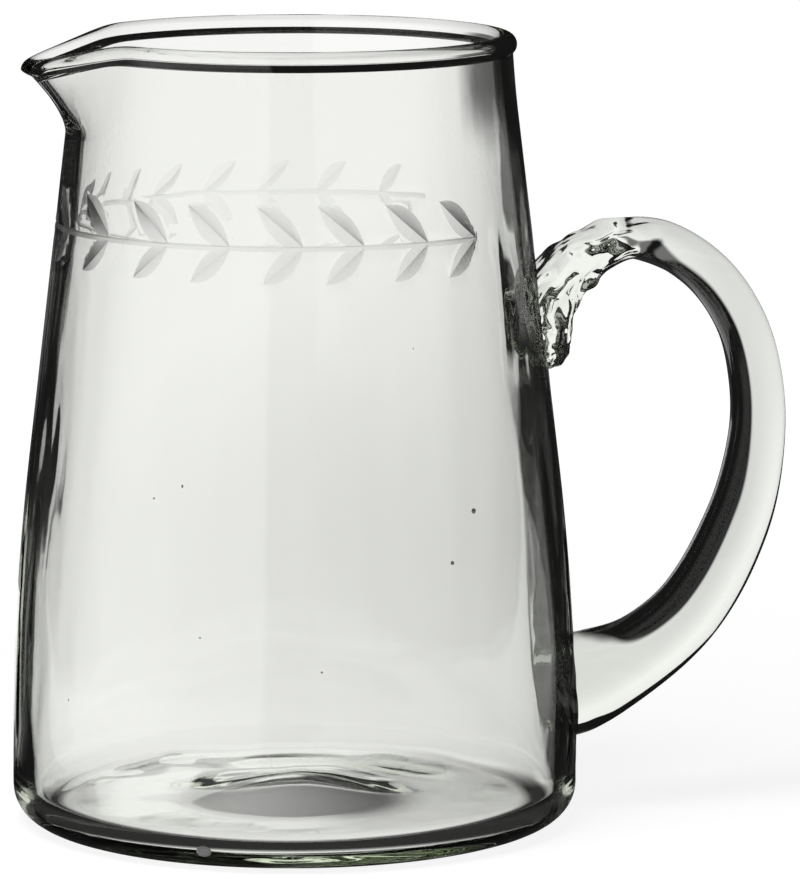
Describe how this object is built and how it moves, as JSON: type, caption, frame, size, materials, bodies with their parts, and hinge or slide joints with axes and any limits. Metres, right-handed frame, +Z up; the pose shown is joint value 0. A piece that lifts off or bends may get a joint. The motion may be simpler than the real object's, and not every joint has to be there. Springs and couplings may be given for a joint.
{
  "type": "cocktail pitcher",
  "caption": "Clear blown-glass cocktail pitcher with a wide foot, narrowing wall, rounded rim, pulled pouring spout, applied loop handle and a cut laurel garland.",
  "frame": {"origin": "middle of the foot ring, on the table plane and on the body's axis", "axes": "+Z up along the body's axis, +X from the axis to the handle, -X from the axis to the spout"},
  "size_m": [0.1981, 0.1436, 0.2],
  "materials": {
    "body_glass": "clear, slightly wavy blown glass with a fire-polished rim and a finely frosted cut garland",
    "handle_glass": "clear, fire-polished solid glass"
  },
  "bodies": {
    "root": {"glass_body": "body_glass", "handle": "handle_glass"}
  },
  "joints": []
}
